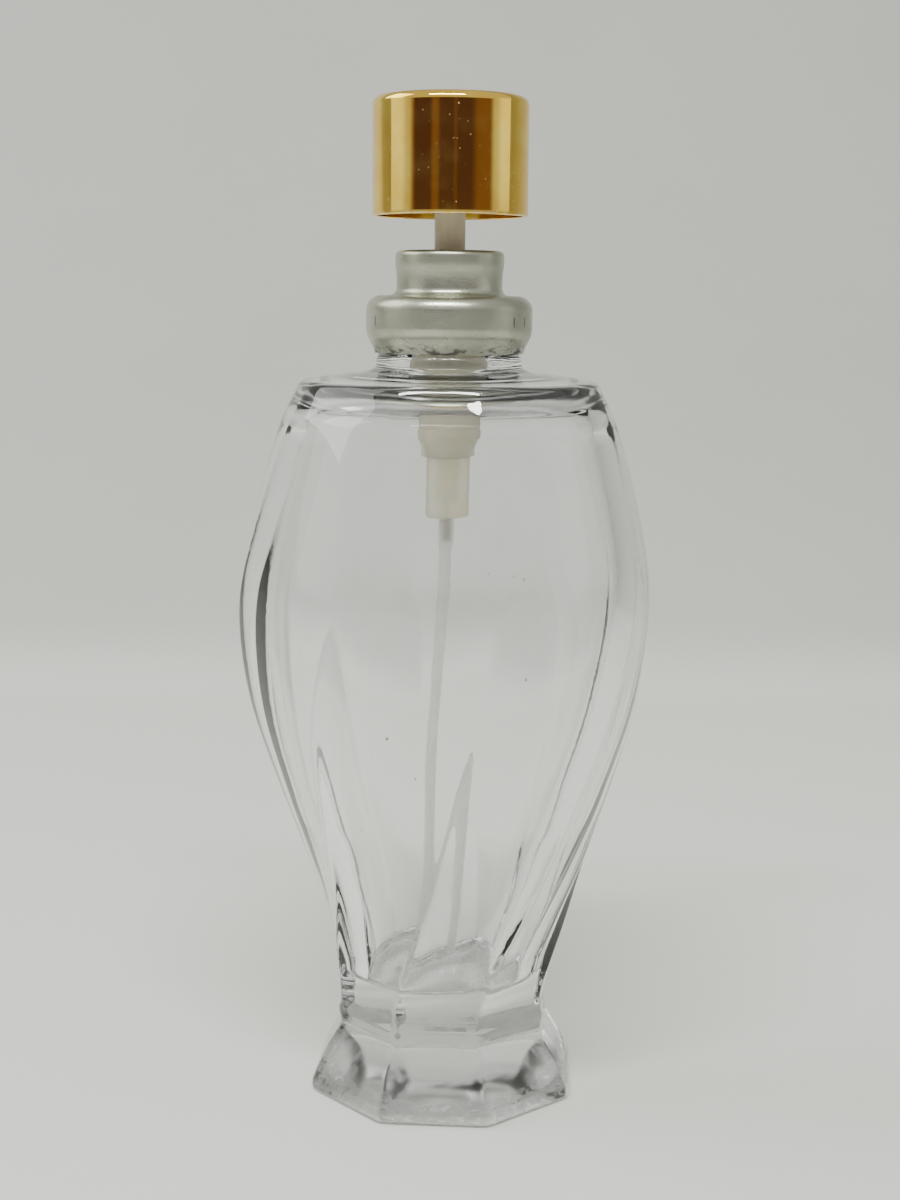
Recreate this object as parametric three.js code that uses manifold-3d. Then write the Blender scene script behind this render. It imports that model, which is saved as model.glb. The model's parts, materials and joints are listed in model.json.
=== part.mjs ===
// A perfume bottle: twisted eight-sided glass, a crimped spray pump and a gold actuator.
// Millimetres, +Z up, standing on z = 0 with its axis on the Z axis. The spray leaves towards +Y.
import * as THREE from "three";
import { mergeVertices } from "three/addons/utils/BufferGeometryUtils.js";
import Module from "manifold-3d";

const wasm = await Module();
wasm.setup();

// ---------- driving dimensions ----------
const SIDES = 8; // facets round the bottle
const ROUND = 5 * SIDES; // segments of the bottle, the ferrule and what they hold
const SMALL = 24; // segments of the small inner pieces

const foot = { radius: 14.7, heel: 1.1, edge: 0.45, height: 7.8, hollow: 0.1 };
const punt = { radius: 10.6, depth: 1.0 };
const waist = { radius: 11.5, height: 2.7, bead: 0.25, beadHeight: 1.6 };
const body = { radius: 21.75, height: 63.5, twist: 53.5, start: -26.5 };
const shoulder = { radius: 15.9, rise: 2.05, edge: 0.5, flatRadius: 8.3 };
const neck = { height: 6.15, radius: 7.0, slope: 0.4 };
const neckCollar = { radius: 7.5, height: 1.3 };
const neckBead = { radius: 8.0, height: 2.6 };
const bore = { radius: 4.35 };
const wall = { body: 2.8, foot: 4.0, floor: 12.4, bowl: 0.35, ceiling: 2.75, floorFillet: 1.8 };
const ceiling = { flatRadius: 10.8, drop: 4.2 };

/** Clearances: seated faces, sliding fits, the stem's holes, the crimp, the stopped button, the shell. */
const gap = {
  seat: 0.03, slide: 0.06, bore: 0.35, bead: 0.15, stem: 0.13, turn: 0.08, stop: 0.4, shell: 0.06,
};

const gasket = { thickness: 0.9, radius: 7.7 };
const ferrule = {
  sheet: 0.35, lip: 0.25, lean: 0.1, skirt: 0.62, bandHeight: 5.85, turretRadius: 5.55, turretHeight: 4.5,
};
const housing = {
  flangeRadius: 5.1, flange: 1.1, collarRadius: 4.0, collarLength: 8.6, boreRadius: 2.6,
  wideRadius: 3.56, wideLength: 7.66, tailRadius: 2.44, tailLength: 6.04, step: 0.6, ledge: 0.56,
};
const inlet = { radius: 0.3, nippleRadius: 0.55, nippleLength: 2.5, coneRise: 0.7 };
const cage = { wall: 0.2, slope: 0.2 };
const ball = { radius: 0.8, lift: 0.6, play: 0.15 };
const tube = { radius: 0.73, bore: 0.42, flareRadius: 0.9, flareLength: 2.7, taper: 0.6, clearance: 0.6 };
const stem = { radius: 1.57, bore: 0.8, topBore: 0.5, collarRadius: 2.3, collar: 1.05 };
const spigot = { radius: 1.2, boreLength: 4.9 };
const seal = { radius: 3.0, depth: 3.2, thickness: 0.6 };
const piston = { length: 3.7, shuttle: 0.6, wall: 0.45, lip: 0.5, rib: 0.2, seat: 0.2, seatLength: 0.5 };
const pin = { headRadius: 2.05, head: 0.8, shankRadius: 0.45, bossRadius: 1.3, boss: 1.0, reach: 3.4 };
const spring = { wire: 0.4, radius: 1.85, turns: 6 };
const press = { stroke: 3.5 };
const button = {
  postRadius: 2.9, skirtWall: 0.8, recess: 6.2, inset: 0.5, socket: 2.6, channel: 0.4, top: 0.1,
};
const shell = { radius: 7.9, height: 11.8, sheet: 0.4, edge: 0.8, holeRadius: 1.9 };
const nozzle = {
  radius: 1.6, length: 2.4, orifice: 0.2, chamber: 0.7, chamberDepth: 1.2, height: 4.9, sink: 0.25,
};

// ---------- levels, from the table up ----------
const waistZ = foot.height;
const bodyZ = waistZ + waist.height;
const shoulderZ = bodyZ + body.height;
const neckZ = shoulderZ + shoulder.rise;
const lipZ = neckZ + neck.height;
const gasketZ = lipZ + gap.seat;
const flangeZ = gasketZ + gasket.thickness + gap.seat;
const closureZ = flangeZ + housing.flange + gap.seat;
const bandTopZ = flangeZ + ferrule.sheet;
const ferruleZ = bandTopZ - ferrule.bandHeight;
const turretTopZ = bandTopZ + ferrule.turretHeight;
const buttonZ = turretTopZ + gap.stop + press.stroke;
const shellZ = buttonZ - button.inset;
const wideZ = flangeZ - housing.collarLength;
const tailZ = wideZ - housing.wideLength;
const nippleZ = tailZ - housing.tailLength;
const ledgeZ = tailZ + housing.ledge;
const sealZ = closureZ - seal.depth;
const collarTopZ = sealZ - gap.seat;
const spigotTopZ = collarTopZ - stem.collar;
const pistonTopZ = spigotTopZ - piston.shuttle;
const pistonZ = pistonTopZ - piston.length;
const pinTopZ = pistonZ - gap.seat;
const pinZ = pinTopZ - pin.head;
const ceilingZ = shoulderZ + shoulder.rise - wall.ceiling;

// ---------- curves ----------
/** A smooth value through stops [place, value], as a cubic with matched slopes. */
function through(stops, at) {
  const last = stops.length - 1;
  if (at <= stops[0][0]) return stops[0][1];
  if (at >= stops[last][0]) return stops[last][1];
  const i = stops.findIndex(([x]) => x > at) - 1;
  const slope = (j) => {
    const [a, b] = [stops[Math.max(j - 1, 0)], stops[Math.min(j + 1, last)]];
    return (b[1] - a[1]) / (b[0] - a[0]);
  };
  const [[x0, y0], [x1, y1]] = [stops[i], stops[i + 1]];
  const h = x1 - x0;
  const t = (at - x0) / h;
  const fall = 2 * t ** 3 - 3 * t ** 2 + 1;
  const lead = (t ** 3 - 2 * t ** 2 + t) * h * slope(i);
  const tail = (t ** 3 - t ** 2) * h * slope(i + 1);
  return fall * y0 + (1 - fall) * y1 + lead + tail;
}

/** Turns corners [radius, height, fillet] into lathe points, with every filleted corner rounded. */
function rounded(corners, steps = 2) {
  const at = corners.map(([r, z]) => new THREE.Vector2(r, z));
  return corners.flatMap(([, , fillet], i) => {
    const here = at[i];
    if (!fillet || i === 0 || i === corners.length - 1) return [here];
    const [before, after] = [at[i - 1], at[i + 1]];
    const reach = (to) => Math.min(fillet, 0.45 * here.distanceTo(to));
    const from = here.clone().lerp(before, reach(before) / here.distanceTo(before));
    const onto = here.clone().lerp(after, reach(after) / here.distanceTo(after));
    return new THREE.QuadraticBezierCurve(from, here, onto).getPoints(steps);
  });
}

/** Revolves lathe points round Z, the first segment's edge facing -Y. */
function lathe(points, segments = ROUND) {
  return new THREE.LatheGeometry(points, segments).rotateX(Math.PI / 2);
}

/** Revolves corners as a ring whose outline closes on itself. */
function ring(corners, segments = ROUND) {
  const points = rounded([...corners, corners[0]]);
  return lathe(points, segments);
}

// ---------- booleans ----------
function solidOf(geometry) {
  const position = geometry.getAttribute("position").clone();
  const bare = new THREE.BufferGeometry().setAttribute("position", position);
  if (geometry.index) bare.setIndex(geometry.index.clone());
  const merged = mergeVertices(bare, 1e-4);
  return new wasm.Manifold(
    new wasm.Mesh({
      numProp: 3,
      vertProperties: merged.getAttribute("position").array,
      triVerts: new Uint32Array(merged.index.array),
    }),
  );
}

function geometryOf(solid) {
  const { vertProperties, triVerts } = solid.getMesh();
  const geometry = new THREE.BufferGeometry()
    .setAttribute("position", new THREE.BufferAttribute(Float32Array.from(vertProperties), 3))
    .setIndex(new THREE.BufferAttribute(Uint32Array.from(triVerts), 1));
  geometry.computeVertexNormals();
  return geometry;
}

function cut(geometry, ...tools) {
  return geometryOf(tools.reduce((solid, tool) => solid.subtract(solidOf(tool)), solidOf(geometry)));
}

/** A cylinder lying along Y, from one Y to another, at a height. */
function alongY(radius, from, to, z, segments = SMALL) {
  return new THREE.CylinderGeometry(radius, radius, to - from, segments).translate(0, (from + to) / 2, z);
}

// ---------- the glass ----------
/** How the ridges swell from the waist to the belly, and draw in to the shoulder: [height, share]. */
const flank = [
  [0.03, 0.03], [0.11, 0.15], [0.21, 0.32], [0.35, 0.62], [0.48, 0.87], [0.59, 0.99], [0.685, 1],
];
const crown = [[0.78, 0.8], [0.87, 0.54], [0.95, 0.26], [1, 0]];
/** How much of the twist is done, and how flat the facets are, from round at 0 to flat at 1. */
const turning = [[0, 0], [0.18, 0.36], [0.29, 0.48], [0.62, 0.71], [1, 1]];
const flatness = [[0.06, 1], [0.15, 0.9], [0.25, 0.62], [0.56, 0.58], [0.75, 0.3], [0.85, 0.22]];
/** Rings above the body over which its facets fade away. */
const FADE = 4;

const share = (z) => (z - bodyZ) / body.height;
const stopsFrom = (radius, table) =>
  table.map(([h, grown]) => [bodyZ + h * body.height, THREE.MathUtils.lerp(radius, body.radius, grown)]);
const bodyStops = [
  [bodyZ, waist.radius],
  ...stopsFrom(waist.radius, flank),
  ...stopsFrom(shoulder.radius, crown),
];
const ridgeRadius = (z) => through(bodyStops, z);
const twistAt = (z) => THREE.MathUtils.degToRad(body.start + body.twist * through(turning, share(z)));
const cavityWall = (z) => {
  const thinned = THREE.MathUtils.smoothstep(share(z), 0, 0.3);
  return THREE.MathUtils.lerp(wall.foot, wall.body, thinned);
};

/** Evenly spaced outline points of the body or, less a wall, of the cavity. */
function flankPoints(from, to, steps, wallAt = () => 0) {
  return Array.from({ length: steps + 1 }, (_, i) => {
    const z = from + ((to - from) * i) / steps;
    return new THREE.Vector2(ridgeRadius(z) - wallAt(z), z);
  });
}

function outsideOfGlass() {
  const { radius, heel, edge, height, hollow } = foot;
  const dome = new THREE.QuadraticBezierCurve(
    new THREE.Vector2(0, punt.depth),
    new THREE.Vector2(punt.radius / 2, punt.depth),
    new THREE.Vector2(punt.radius, 0),
  ).getPoints(4);
  const middle = (heel + height) / 2;
  const footPoints = rounded([
    [punt.radius, 0],
    [radius, 0, edge],
    [radius, heel, edge],
    [(radius + waist.radius) / 2 - hollow, middle, middle],
    [waist.radius, waistZ, edge],
    [waist.radius + waist.bead, waistZ + waist.beadHeight / 2, edge],
    [waist.radius, waistZ + waist.beadHeight, edge],
    [waist.radius, bodyZ],
  ], 1);
  return { dome, sides: [...footPoints.slice(1), ...flankPoints(bodyZ, shoulderZ, 17).slice(1)] };
}

function topOfGlass() {
  const beadZ = lipZ - neckBead.height;
  const collarTopZ = neckZ + neckCollar.height;
  return rounded([
    [shoulder.radius, shoulderZ],
    [shoulder.radius - shoulder.edge, shoulderZ + 0.42 * shoulder.rise, 0.8],
    [shoulder.flatRadius, neckZ - 0.12 * shoulder.rise, 0.5],
    [neckCollar.radius, neckZ + 0.1 * shoulder.rise, 0.4],
    [neckCollar.radius, collarTopZ, 0.3],
    [neck.radius, collarTopZ + neck.slope, 0.3],
    [neck.radius, beadZ - neck.slope, 0.4],
    [neckBead.radius, beadZ + neck.slope, 0.5],
    [neckBead.radius, lipZ, 0.8],
    [bore.radius, lipZ, 0.35],
    [bore.radius, (lipZ + ceilingZ) / 2],
  ]).slice(1);
}

function insideOfGlass() {
  const wallZ = ceilingZ - ceiling.drop;
  const wallRadius = ridgeRadius(wallZ) - cavityWall(wallZ);
  const floorZ = wall.floor + wall.floorFillet;
  const floorRadius = ridgeRadius(floorZ) - cavityWall(floorZ);
  const roof = new THREE.EllipseCurve(
    ceiling.flatRadius, wallZ, wallRadius - ceiling.flatRadius, ceiling.drop, Math.PI / 2, 0, true,
  ).getPoints(4);
  const throat = rounded([
    [bore.radius, lipZ],
    [bore.radius, ceilingZ, 0.5],
    [ceiling.flatRadius, ceilingZ],
  ], 1);
  return [
    ...throat.slice(1, -1),
    ...roof,
    ...flankPoints(wallZ, floorZ, 12, cavityWall).slice(1, -1),
    ...rounded([
      [floorRadius, floorZ],
      [floorRadius, wall.floor, wall.floorFillet],
      [floorRadius / 2, wall.floor - wall.bowl / 2],
      [0, wall.floor - wall.bowl],
    ]),
  ];
}

/** Turns a lathe's rings with the twist and flattens the ones that carry facets. */
function twisted(points, facet) {
  const geometry = lathe(points);
  const position = geometry.getAttribute("position");
  const half = Math.PI / SIDES;
  for (let i = 0; i < position.count; i += 1) {
    const ringNumber = i % points.length;
    const z = position.getZ(i);
    const radius = Math.hypot(position.getX(i), position.getY(i));
    const angle = (Math.floor(i / points.length) * 2 * Math.PI) / ROUND;
    const fromMiddle = (angle % (2 * half)) - half;
    const flat = Math.cos(half) / Math.cos(fromMiddle);
    const r = radius * THREE.MathUtils.lerp(1, flat, facet(ringNumber, z));
    const turned = angle + twistAt(z);
    position.setXYZ(i, r * Math.sin(turned), -r * Math.cos(turned), z);
  }
  return geometry;
}

function glassBottle() {
  const { dome, sides } = outsideOfGlass();
  const points = [...dome, ...sides, ...topOfGlass(), ...insideOfGlass()];
  const sidesEnd = dome.length + sides.length;
  return twisted(points, (n, z) => {
    if (n < dome.length || n >= sidesEnd + FADE) return 0;
    const faded = Math.max(n - sidesEnd, 0) / FADE;
    return through(flatness, share(z)) * (1 - faded);
  });
}

// ---------- the crimp ----------
function neckGasket() {
  const inner = housing.collarRadius + gap.slide;
  const top = gasketZ + gasket.thickness;
  return ring([[inner, gasketZ], [gasket.radius, gasketZ], [gasket.radius, top], [inner, top]]);
}

function crimpFerrule() {
  const { sheet, lip, lean, skirt, turretRadius } = ferrule;
  const bandRadius = neckBead.radius + gap.bead + sheet;
  const lipInner = neck.radius + lip;
  const lipRadius = lipInner + sheet;
  const crimpZ = lipZ - neckBead.height - gap.bead;
  const hole = stem.radius + gap.bore;
  return ring([
    [lipRadius, ferruleZ],
    [lipRadius + lean, ferruleZ + skirt, 0.3],
    [bandRadius, crimpZ, 1.2],
    [bandRadius, bandTopZ, 1.3],
    [turretRadius, bandTopZ, 0.5],
    [turretRadius, turretTopZ, 0.7],
    [hole, turretTopZ],
    [hole, turretTopZ - sheet],
    [turretRadius - sheet, turretTopZ - sheet, 0.45],
    [turretRadius - sheet, bandTopZ - sheet],
    [bandRadius - sheet, bandTopZ - sheet, 0.3],
    [bandRadius - sheet, crimpZ + lean, 0.9],
    [lipInner, ferruleZ + skirt, 0.3],
    [lipInner, ferruleZ],
  ]);
}

// ---------- the pump ----------
/** The inlet's 45 degree cone, from its tip: the ball sits in it, and rises to a narrower lip. */
const coneZ = nippleZ + inlet.coneRise;
const ballZ = coneZ + ball.radius * Math.SQRT2 + gap.seat;
const cageRadius = ball.radius + ball.play;
const cageLip = 0.9 * ball.radius;
const cageLipZ = ballZ + ball.lift + Math.sqrt(ball.radius ** 2 - cageLip ** 2) + gap.slide;

function pumpHousing() {
  const h = housing;
  const top = flangeZ + h.flange;
  return ring([
    [inlet.radius, nippleZ - inlet.nippleLength],
    [inlet.nippleRadius, nippleZ - inlet.nippleLength],
    [inlet.nippleRadius, nippleZ],
    [h.tailRadius, nippleZ, 0.25],
    [h.tailRadius, tailZ],
    [h.tailRadius + 0.4 * (h.wideRadius - h.tailRadius), tailZ],
    [h.wideRadius, tailZ + h.step, 0.2],
    [h.wideRadius, wideZ],
    [h.collarRadius, wideZ + h.step],
    [h.collarRadius, flangeZ],
    [h.flangeRadius, flangeZ],
    [h.flangeRadius, top],
    [seal.radius, top],
    [seal.radius, sealZ],
    [h.boreRadius, sealZ],
    [h.boreRadius, ledgeZ],
    [cageRadius + cage.wall, ledgeZ],
    [cageRadius + cage.wall, cageLipZ + 2 * cage.slope],
    [cageLip, cageLipZ + cage.slope],
    [cageLip, cageLipZ],
    [cageRadius, cageLipZ],
    [cageRadius, coneZ + cageRadius],
    [inlet.radius, coneZ + inlet.radius],
  ], SMALL);
}

function closureCollar() {
  const outer = ferrule.turretRadius - ferrule.sheet - gap.slide;
  const inner = stem.radius + gap.stem;
  const sleeve = seal.radius - gap.slide;
  const top = turretTopZ - ferrule.sheet - gap.seat;
  const sleeveZ = sealZ + seal.thickness + 2 * gap.seat;
  return ring([
    [inner, sleeveZ],
    [sleeve, sleeveZ],
    [sleeve, closureZ],
    [outer, closureZ],
    [outer, top, 0.5],
    [inner, top],
  ], SMALL);
}

function stemSeal() {
  const [inner, outer] = [stem.radius + gap.slide, seal.radius - gap.slide];
  const [low, high] = [sealZ + gap.seat, sealZ + gap.seat + seal.thickness];
  return ring([[inner, low], [outer, low], [outer, high], [inner, high]], SMALL);
}

function pumpStem() {
  const spigotZ = pistonZ + piston.seatLength + piston.shuttle + gap.slide;
  const boreTopZ = spigotZ + spigot.boreLength;
  const top = buttonZ + button.socket;
  return ring([
    [stem.bore, spigotZ],
    [spigot.radius, spigotZ],
    [spigot.radius, spigotTopZ],
    [stem.collarRadius, spigotTopZ],
    [stem.collarRadius, collarTopZ],
    [stem.radius, collarTopZ],
    [stem.radius, top],
    [stem.topBore, top],
    [stem.topBore, boreTopZ + stem.bore - stem.topBore],
    [stem.bore, boreTopZ],
  ], SMALL);
}

function valvePin() {
  const chamfer = 0.1 * pin.head;
  return lathe(rounded([
    [0, pinZ - pin.boss],
    [pin.bossRadius, pinZ - pin.boss, 0.3],
    [pin.bossRadius, pinZ],
    [pin.headRadius, pinZ],
    [pin.headRadius, pinTopZ - chamfer],
    [pin.headRadius - 4 * chamfer, pinTopZ],
    [pin.shankRadius, pinTopZ],
    [pin.shankRadius, pinTopZ + pin.reach, 0.1],
    [0, pinTopZ + pin.reach],
  ]), SMALL);
}

function pumpPiston() {
  const outer = housing.boreRadius - gap.slide;
  const inner = spigot.radius + gap.slide;
  const sleeve = inner + piston.wall;
  const { lip, rib, seat, seatLength } = piston;
  return ring([
    [inner - seat, pistonZ],
    [inner + seat, pistonZ],
    [sleeve, pistonZ + 2 * lip],
    [outer - rib, pistonZ + lip],
    [outer, pistonZ + lip],
    [outer, pistonZ + 2 * lip],
    [sleeve + rib, pistonZ + 3.4 * lip],
    [sleeve + rib, pistonTopZ - 2.6 * lip],
    [outer, pistonTopZ - lip],
    [outer, pistonTopZ],
    [outer - rib, pistonTopZ],
    [sleeve, pistonTopZ - lip],
    [sleeve, pistonTopZ],
    [inner, pistonTopZ],
    [inner, pistonZ + seatLength],
    [inner - seat, pistonZ + seatLength - seat / 2],
  ], SMALL);
}

/** The spring's centreline: a helix whose end turns lie nearly flat. */
class Coil extends THREE.Curve {
  constructor(low, high) {
    super();
    Object.assign(this, { low, high });
  }

  getPoint(t, target = new THREE.Vector3()) {
    const angle = 2 * Math.PI * spring.turns * t;
    const flatTurn = 1 / spring.turns;
    const middle = THREE.MathUtils.clamp((t - flatTurn) / (1 - 2 * flatTurn), 0, 1);
    const endRise = spring.wire + gap.slide;
    const ends = Math.min(t / flatTurn, 1) + Math.max((t - 1 + flatTurn) / flatTurn, 0);
    const climb = this.high - this.low - 2 * endRise;
    const z = this.low + ends * endRise + middle * climb;
    return target.set(spring.radius * Math.sin(angle), -spring.radius * Math.cos(angle), z);
  }
}

function returnSpring() {
  const half = spring.wire / 2;
  const path = new Coil(ledgeZ + half + gap.slide, pinZ - half - gap.slide);
  const section = new THREE.Shape().absarc(0, 0, half, 0, 2 * Math.PI);
  return new THREE.ExtrudeGeometry(section, {
    extrudePath: path, steps: 14 * spring.turns, curveSegments: 3, bevelEnabled: false,
  });
}

function inletBall() {
  return new THREE.SphereGeometry(ball.radius, 16, 10).rotateX(Math.PI / 2).translate(0, 0, ballZ);
}

function dipTube() {
  const top = nippleZ - gap.seat;
  const flareZ = top - tube.flareLength;
  const end = wall.floor + tube.clearance;
  const grip = inlet.nippleRadius + gap.seat;
  const pipe = ring([
    [tube.bore, end],
    [tube.radius, end],
    [tube.radius, flareZ - tube.taper],
    [tube.flareRadius, flareZ],
    [tube.flareRadius, top],
    [grip, top],
    [grip, flareZ],
    [tube.bore, flareZ - tube.taper],
  ], SMALL);
  const notch = new THREE.BoxGeometry(6 * tube.radius, 6 * tube.radius, 2 * tube.radius)
    .rotateX(Math.PI / 6)
    .translate(0, -tube.radius, end - 0.2 * tube.radius);
  return cut(pipe, notch);
}

// ---------- the actuator ----------
const nozzleZ = shellZ + nozzle.height;
const buttonRadius = shell.radius - shell.sheet - gap.shell;
const buttonTopZ = shellZ + shell.height - shell.sheet - button.top;
const socketTopZ = buttonZ + button.socket + gap.seat;
const nozzleBackY = buttonRadius - nozzle.length;

function actuatorButton() {
  const recessTopZ = shellZ + button.recess;
  const skirtInner = buttonRadius - button.skirtWall;
  const socket = stem.radius + gap.turn;
  const blank = ring([
    [button.postRadius, buttonZ, 0.2],
    [button.postRadius, recessTopZ],
    [skirtInner, recessTopZ, 0.4],
    [skirtInner, buttonZ + button.skirtWall],
    [buttonRadius, buttonZ + button.skirtWall],
    [buttonRadius, buttonTopZ, 0.4],
    [button.channel, buttonTopZ],
    [button.channel, socketTopZ],
    [socket, socketTopZ],
    [socket, buttonZ],
  ], SMALL);
  const plugDepth = 5 * button.channel;
  const plug = new THREE.CylinderGeometry(2 * button.channel, 2 * button.channel, plugDepth, SMALL)
    .rotateX(Math.PI / 2)
    .translate(0, 0, buttonTopZ - plugDepth / 2);
  const pocket = alongY(nozzle.radius + gap.slide, nozzleBackY - gap.slide, 2 * buttonRadius, nozzleZ);
  const feed = alongY(button.channel, 0, buttonRadius, nozzleZ, 12);
  const [webFrom, webTo] = [0.8 * button.postRadius, skirtInner + button.skirtWall / 4];
  const web = alongY(nozzle.radius + button.skirtWall, webFrom, webTo, nozzleZ);
  const joined = geometryOf(solidOf(blank).add(solidOf(plug)).add(solidOf(web)));
  return cut(joined, pocket, feed);
}

function actuatorShell() {
  const { radius, height, sheet, edge, holeRadius } = shell;
  const top = shellZ + height;
  const blank = lathe(rounded([
    [0, top - sheet],
    [radius - sheet, top - sheet, edge - sheet / 2],
    [radius - sheet, shellZ],
    [radius, shellZ],
    [radius, top, edge],
    [0, top],
  ]));
  return cut(blank, alongY(holeRadius, radius / 2, 2 * radius, nozzleZ));
}

function nozzleInsert() {
  const { radius, length, orifice, chamber, chamberDepth, sink } = nozzle;
  return new THREE.LatheGeometry(rounded([
    [chamber, 0],
    [radius, 0],
    [radius, length, sink],
    [orifice + 2 * sink, length],
    [orifice, length - sink],
    [orifice, chamberDepth],
    [chamber, chamberDepth],
    [chamber, 0],
  ]), SMALL).translate(0, nozzleBackY, nozzleZ);
}

// ---------- the assembly ----------
const finish = {
  glass: { color: 0xf4f7f6, roughness: 0.02, metalness: 0, transparent: true, opacity: 0.35 },
  aluminium: { color: 0xb3afa2, roughness: 0.35, metalness: 1 },
  gold: { color: 0xc9a13b, roughness: 0.12, metalness: 1 },
  natural: { color: 0xd9d3bd, roughness: 0.4, metalness: 0 },
  ivory: { color: 0xb5a88a, roughness: 0.45, metalness: 0 },
  rubber: { color: 0x8d8a84, roughness: 0.7, metalness: 0 },
  steel: { color: 0xa9acb0, roughness: 0.25, metalness: 1 },
};

function piece(name, geometry, look) {
  const mesh = new THREE.Mesh(geometry, new THREE.MeshStandardMaterial(look));
  mesh.name = name;
  return mesh;
}

const bottle = new THREE.Group();
bottle.add(
  piece("glass_bottle", glassBottle(), finish.glass),
  piece("neck_gasket", neckGasket(), finish.rubber),
  piece("crimp_ferrule", crimpFerrule(), finish.aluminium),
);

const pump = new THREE.Group();
pump.add(
  piece("pump_housing", pumpHousing(), finish.natural),
  piece("closure_collar", closureCollar(), finish.natural),
  piece("stem_seal", stemSeal(), finish.rubber),
  piece("return_spring", returnSpring(), finish.steel),
  piece("inlet_ball", inletBall(), finish.steel),
  piece("dip_tube", dipTube(), finish.natural),
);

const plunger = new THREE.Group();
plunger.add(
  piece("pump_stem", pumpStem(), finish.ivory),
  piece("valve_pin", valvePin(), finish.natural),
  piece("pump_piston", pumpPiston(), finish.natural),
);

const actuator = new THREE.Group();
actuator.add(
  piece("actuator_button", actuatorButton(), finish.ivory),
  piece("actuator_shell", actuatorShell(), finish.gold),
  piece("nozzle_insert", nozzleInsert(), finish.natural),
);

const perfumeBottle = new THREE.Group();
perfumeBottle.add(bottle, pump, plunger, actuator);
export default perfumeBottle;
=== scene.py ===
"""A perfume bottle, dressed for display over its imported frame.

The twisted glass, the crimped collar, the pump with its spring, and the gold actuator are fine meshes that
stand for the frame's plain nodes. The other inner pieces keep their frame meshes and get their own finishes.
Sizes are in millimetres inside the classes, and in metres in the scene.
"""

import json
import logging
import math
from collections.abc import Sequence
from dataclasses import dataclass
from enum import Enum
from typing import Any, NamedTuple

import bmesh
import bpy
from mathutils import Matrix, Vector, noise


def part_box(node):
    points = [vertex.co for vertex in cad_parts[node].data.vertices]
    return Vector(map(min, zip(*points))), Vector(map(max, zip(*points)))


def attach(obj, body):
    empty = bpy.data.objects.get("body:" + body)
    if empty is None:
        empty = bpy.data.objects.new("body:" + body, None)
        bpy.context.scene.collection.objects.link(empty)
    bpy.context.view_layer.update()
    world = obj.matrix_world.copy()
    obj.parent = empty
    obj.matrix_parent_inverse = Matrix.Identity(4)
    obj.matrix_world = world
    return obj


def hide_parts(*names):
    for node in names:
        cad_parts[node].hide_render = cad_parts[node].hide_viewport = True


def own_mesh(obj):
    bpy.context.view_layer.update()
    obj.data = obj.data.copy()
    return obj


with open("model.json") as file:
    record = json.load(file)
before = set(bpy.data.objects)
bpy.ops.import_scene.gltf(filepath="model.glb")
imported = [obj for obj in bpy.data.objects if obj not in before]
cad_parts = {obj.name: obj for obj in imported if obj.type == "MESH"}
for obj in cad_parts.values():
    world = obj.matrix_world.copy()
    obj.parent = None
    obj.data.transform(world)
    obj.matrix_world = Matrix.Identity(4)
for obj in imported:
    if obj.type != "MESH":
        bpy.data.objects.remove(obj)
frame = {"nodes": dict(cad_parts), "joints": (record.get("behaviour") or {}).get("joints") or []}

MM = 0.001
AXIS = (0.0, 0.0, 1.0)

# Vertices nearer than MERGE become one, and edges bent by more than CREASE stay sharp.
MERGE = 0.0004 * MM
CREASE = math.radians(32)

# A fillet takes at most this share of the shorter edge beside its corner.
FILLET_ROOM = 0.48

log = logging.getLogger("bottle")


class Slot(Enum):
    """The record's material slots."""

    GLASS = "glass"
    ALUMINIUM = "aluminium"
    GOLD = "gold"
    NATURAL = "natural_plastic"
    IVORY = "ivory_plastic"
    STEEL = "steel"


class Body(Enum):
    """The frame's bodies that the new pieces ride on."""

    BOTTLE = "bottle"
    PLUNGER = "plunger"
    ACTUATOR = "actuator"


# ---------------------------------------------------------------- paint


class Signal:
    """A number that varies over a surface, with the arithmetic that the finishes use."""

    def __init__(self, wiring: "Wiring", socket: bpy.types.NodeSocket) -> None:
        """Wraps an output socket of one of the wiring's nodes."""
        self.wiring = wiring
        self.socket = socket

    def _math(self, operation: str, first: Any, second: Any = 0.0) -> "Signal":
        """Adds a Math node for one operation on two values."""
        return self.wiring.number("ShaderNodeMath", {"operation": operation}, {0: first, 1: second})

    def __add__(self, other: Any) -> "Signal":
        """Adds a value."""
        return self._math("ADD", self, other)

    def __radd__(self, other: Any) -> "Signal":
        """Is added to a value."""
        return self._math("ADD", other, self)

    def __sub__(self, other: Any) -> "Signal":
        """Takes a value away."""
        return self._math("SUBTRACT", self, other)

    def __rsub__(self, other: Any) -> "Signal":
        """Is taken away from a value."""
        return self._math("SUBTRACT", other, self)

    def __mul__(self, other: Any) -> "Signal":
        """Multiplies by a value."""
        return self._math("MULTIPLY", self, other)

    def __rmul__(self, other: Any) -> "Signal":
        """Multiplies a value."""
        return self._math("MULTIPLY", other, self)

    def beside(self, across: "Signal") -> "Signal":
        """Gives the angle of the point (across, self) round the axis, in radians."""
        return self._math("ARCTAN2", self, across)

    def ramp(self, low: float, high: float) -> "Signal":
        """Rises smoothly from 0 at low to 1 at high, or falls where low is above high.

        Args:
            low: The value that gives 0.
            high: The value that gives 1.

        Returns:
            The eased share.
        """
        start, end = min(low, high), max(low, high)
        shares = {"To Min": float(low > high), "To Max": float(low < high)}
        span = {"Value": self, "From Min": start, "From Max": end}
        return self.wiring.number("ShaderNodeMapRange", {"interpolation_type": "SMOOTHSTEP"}, span | shares)


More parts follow.
